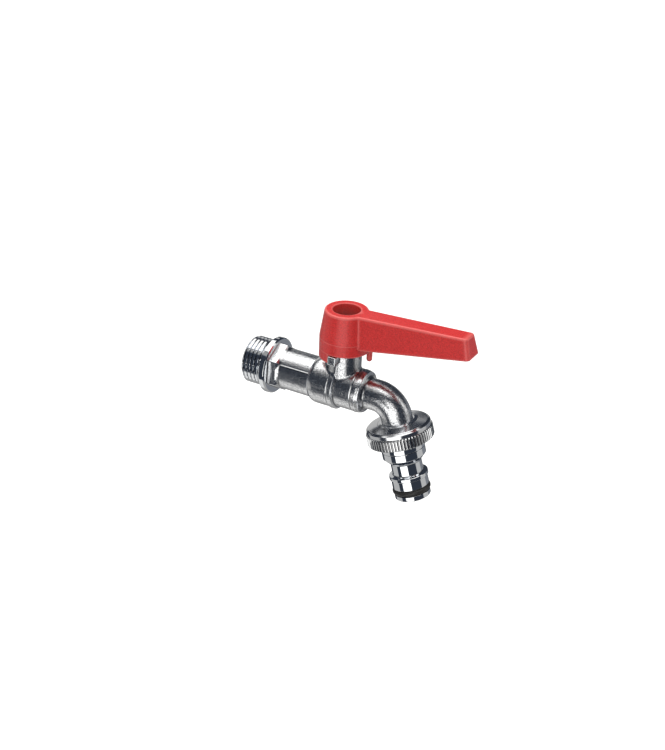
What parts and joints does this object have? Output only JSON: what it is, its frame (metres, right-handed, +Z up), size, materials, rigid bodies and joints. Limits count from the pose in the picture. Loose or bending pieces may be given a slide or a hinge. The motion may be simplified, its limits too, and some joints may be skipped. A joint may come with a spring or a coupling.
{
  "type": "hose bib",
  "caption": "Quarter-turn ball valve garden tap with a threaded inlet, red lever and a knurled union holding a quick-connect hose nipple.",
  "frame": {"origin": "centre of the open inlet end, on the flow axis", "axes": "+X along the flow from the inlet towards the spout and along the closed-off lever, +Z up along the valve stem, +Y to the left when looking along +X"},
  "size_m": [0.1044, 0.0288, 0.0829],
  "materials": {
    "cast_chrome": "satin blasted chrome plate on cast brass",
    "polished_chrome": "bright chrome plate on turned brass",
    "lever_red": "red epoxy powder coat, slightly pebbled",
    "rubber_black": "black nitrile rubber",
    "ptfe_white": "white PTFE",
    "ball_chrome": "polished hard chrome on brass",
    "stem_brass": "turned brass",
    "screw_steel": "zinc plated steel"
  },
  "bodies": {
    "valve_body": {"valve_body": "cast_chrome", "inlet_tail": "polished_chrome", "tail_seal_ring": "rubber_black", "inlet_seat": "ptfe_white", "outlet_seat": "ptfe_white", "thrust_washer": "ptfe_white", "outlet_gasket": "rubber_black"},
    "lever": {"lever": "lever_red", "handle_screw": "screw_steel", "lock_washer": "screw_steel", "stem": "stem_brass", "lower_stem_oring": "rubber_black", "upper_stem_oring": "rubber_black"},
    "ball": {"ball": "ball_chrome"},
    "union_nut": {"union_nut": "polished_chrome"},
    "nipple": {"hose_nipple": "polished_chrome", "nipple_oring": "rubber_black"}
  },
  "joints": [
    {"name": "lever_turn", "type": "hinge", "parent": "valve_body", "child": "lever", "pos_m": [0.046, 0, 0.022], "axis": [0, 0, 1], "range_deg": [-90, 0]},
    {"name": "ball_turn", "type": "hinge", "parent": "valve_body", "child": "ball", "pos_m": [0.046, 0, 0], "axis": [0, 0, 1], "range_deg": [-90, 0]},
    {"name": "union_nut_turn", "type": "hinge", "parent": "valve_body", "child": "union_nut", "pos_m": [0.07461, 0, -0.01532], "axis": [0.2882, 0, -0.9576], "continuous": true},
    {"name": "nipple_turn", "type": "hinge", "parent": "valve_body", "child": "nipple", "pos_m": [0.07576, 0, -0.01915], "axis": [0.2882, 0, -0.9576], "continuous": true}
  ],
  "couplings": [
    {"joint": "ball_turn", "follows": "lever_turn", "ratio": 1}
  ]
}
